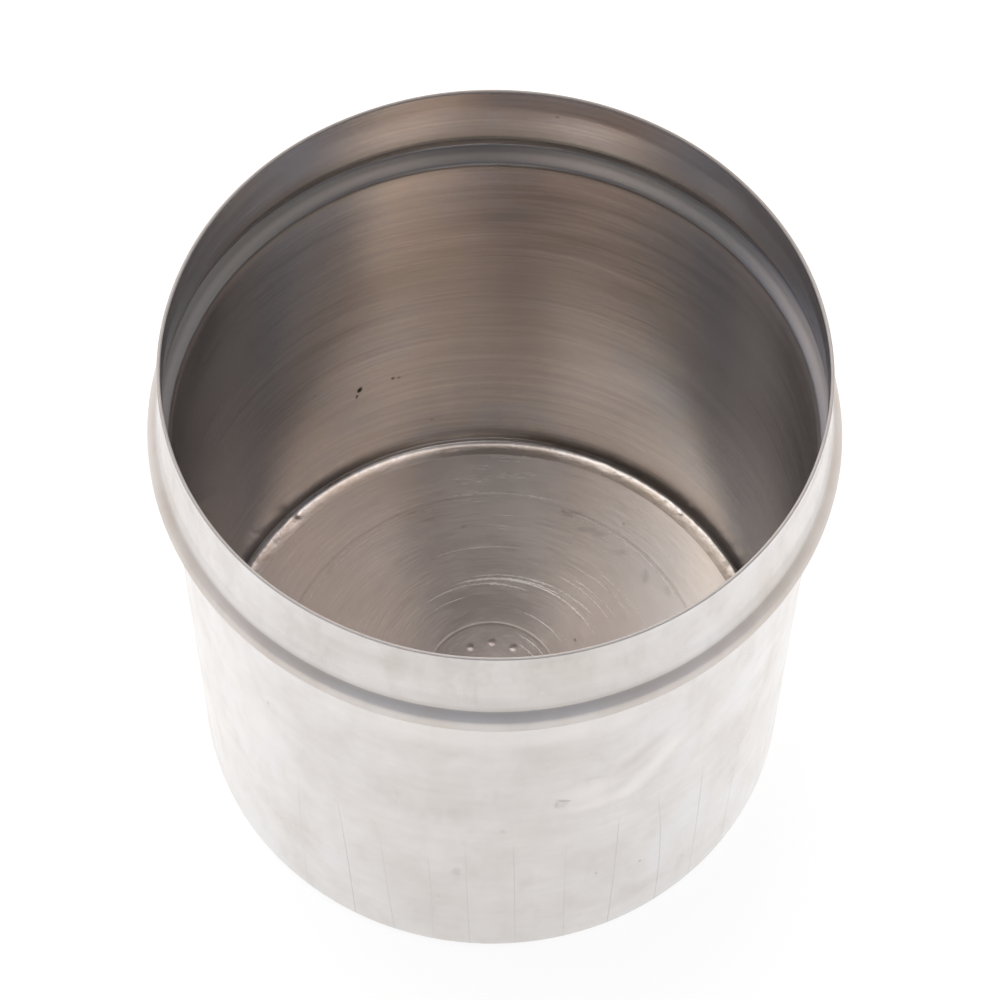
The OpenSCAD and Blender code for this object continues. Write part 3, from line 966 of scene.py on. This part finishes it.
def base_finish():
    """The disc: turned rings, a worn ring with scribbles beside it, scratches and brown marks."""
    m = Metal("base_top", 1, 0.8, stray=0.35)
    wander = m.times(m.noise(m.place, (0.05, 0.05, 0.05)), 2)
    ring_place = m.add("CombineXYZ", m.plus(m.radius, wander), m.around, 0).outputs[0]
    fine = m.noise(ring_place, (3.2, 0.10, 1), 2, 0.8)
    broad = m.noise(ring_place, (0.30, 0.03, 1), 3, 0.6)
    cloud = m.noise(m.place, (0.06, 0.06, 0.06), 5, 0.6)
    # Where the painted highlight lies across the floor's far middle
    far = m.times(m.smooth(m.absolute(m.x), *FAN), m.smooth(m.y, *FAN_HIGHLIGHT_FAR))
    colour = worn_ring(m, floor_metal(m, cloud, broad, fine, far), ring_place, broad)
    scratched = 0
    for circle, azimuths, half_w, strength in FLOOR_SCRATCHES:
        line = m.times(m.scratch(circle, azimuths, half_w), strength)
        scratched = m.math("MAXIMUM", scratched, line)
    colour = m.darken(colour, scratched, 1, LIGHT_SCRATCH_AND_HIGHLIGHT)
    for (x, y, half_w, half_h), strength in FLOOR_MARKS:
        colour = m.darken(colour, m.patch(m.flat, (x, y), half_w, half_h, soft=0.7, ragged=2), strength)
    roughness = m.plus(m.spread(fine, 0.15, 0.25), m.spread(broad, -0.02, 0.04), m.times(far, 0.05),
                       m.times(scratched, 0.35))
    return m.finish(colour, roughness, m.plus(fine, m.times(broad, 0.8)), 0.000005)


def seam_finish():
    """The filler: lighter at the left and darker to the right, which is painted light and shade, with fine
    pits and brown residue.
    """
    m = Metal("seam_face", 1, 0.5)
    grain = m.noise(m.place, (1.6, 1.6, 1.6), 4, 0.7)
    patch = m.noise(m.place, (0.22, 0.22, 0.5), 3, 0.6)
    # Painted light at the left and painted shade from the back to the right
    right = m.smooth(m.turned, *SEAM_SHADE_TURN)
    clean = m.mix(right, SEAM_CLEAN_LIT_LEFT, SEAM_CLEAN_SHADED_RIGHT)
    stained = m.mix(right, SEAM_STAINED_LIT_LEFT, SEAM_STAINED_SHADED_RIGHT)
    colour = m.mix(m.smooth(patch, 0.35, 0.75), clean, stained)
    colour = m.darken(colour, m.smooth(grain, 0.60, 0.72), 0.45)
    return m.finish(colour, m.spread(grain, 0.16, 0.30), grain, 0.00002)


def sky():
    """The studio: a bright field overhead, a grey room round it and the white table's far edge."""
    world = bpy.data.worlds.new("studio")
    bpy.context.scene.world = world
    world.use_nodes = True
    n = Nodes(world.node_tree)
    way = n.add("TexCoord").outputs["Generated"]
    rise = n.add("SeparateXYZ", way).outputs[2]

    def patch(azimuth, elevation, full, end):
        east, north = polar(math.radians(azimuth), math.cos(math.radians(elevation)))
        axis = (east, north, math.sin(math.radians(elevation)))
        facing = n.add("VectorMath", way, axis, operation="DOT_PRODUCT").outputs[1]
        return n.smooth(facing, math.cos(math.radians(end)), math.cos(math.radians(full)))

    def lit(share, colour):
        return n.vector("MULTIPLY", n.add("CombineXYZ", share, share, share).outputs[0], colour)

    light = lit(n.smooth(rise, math.sin(math.radians(HORIZON_TOP)), 0), HORIZON)
    light = n.vector("ADD", light, ROOM)
    for *where, colour in SKY:
        light = n.vector("ADD", light, lit(patch(*where), colour))
    left = n.plus(n.times(patch(*CAMERA_SHADE), -SHADE_SHARE), 1)
    light = n.vector("MULTIPLY", light, n.add("CombineXYZ", left, left, left).outputs[0])
    n.put(n.tree.nodes["Background"].inputs["Color"], light)


def table():
    """The white table: close to white seen straight or mirrored in the metal, and it keeps the shadow."""
    mesh = bpy.data.meshes.new("table")
    far = TABLE_HALF
    mesh.from_pydata([(-far, -far, 0), (far, -far, 0), (far, far, 0), (-far, far, 0)], [], [(0, 1, 2, 3)])
    piece = bpy.data.objects.new("table", mesh)
    bpy.context.scene.collection.objects.link(piece)
    material = bpy.data.materials.new("table_white")
    material.use_nodes = True
    n = Nodes(material.node_tree)
    n.tree.nodes.remove(n.tree.nodes["Principled BSDF"])
    ray = n.add("LightPath").outputs
    mirrored = n.math("MAXIMUM", ray["Is Glossy Ray"], ray["Is Transmission Ray"])
    paint = n.add("BsdfDiffuse", (TABLE_PAINT, TABLE_PAINT, TABLE_PAINT, 1))
    place = n.add("TexCoord").outputs["Object"]
    shadow = n.smooth(n.length(n.vector("SUBTRACT", place, (0, -BODY_R * MM, 0))), SHADOW_REACH, 0)
    straight = n.times(ray["Is Camera Ray"], n.spread(shadow, TABLE_SEEN, TABLE_SEEN * (1 - SHADOW_SHARE)))
    way = n.add("SeparateXYZ", n.vector("NORMALIZE", place)).outputs[1]
    front = n.math("POWER", n.math("MAXIMUM", n.times(way, -1), 0), 2)
    mirrored = n.times(mirrored, n.spread(front, TABLE_MIRRORED, TABLE_MIRRORED * (1 - FRONT_SHARE)))
    tint = n.mix(ray["Is Camera Ray"], TABLE_TINT, (1, 1, 1, 1))
    glow = n.add("Emission", tint, n.plus(straight, mirrored))
    both = n.add("AddShader", paint.outputs[0], glow.outputs[0])
    n.put(n.tree.nodes["Material Output"].inputs["Surface"], both.outputs[0])
    mesh.materials.append(material)


def dress(piece, node, finishes):
    """Gives a piece its finishes, and puts it in the place of the solid of a node."""
    for finish in finishes:
        piece.data.materials.append(finish)
    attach(piece, "root")
    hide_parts(node)


dress(make_shell(), "shell", [outside_finish(), inside_finish(), lip_finish()])
dress(make_base(), "base", [base_finish()])
dress(make_seam(), "base_seam", [seam_finish()])
make_camera()
sky()
table()
bpy.context.scene.view_settings.view_transform = "Standard"
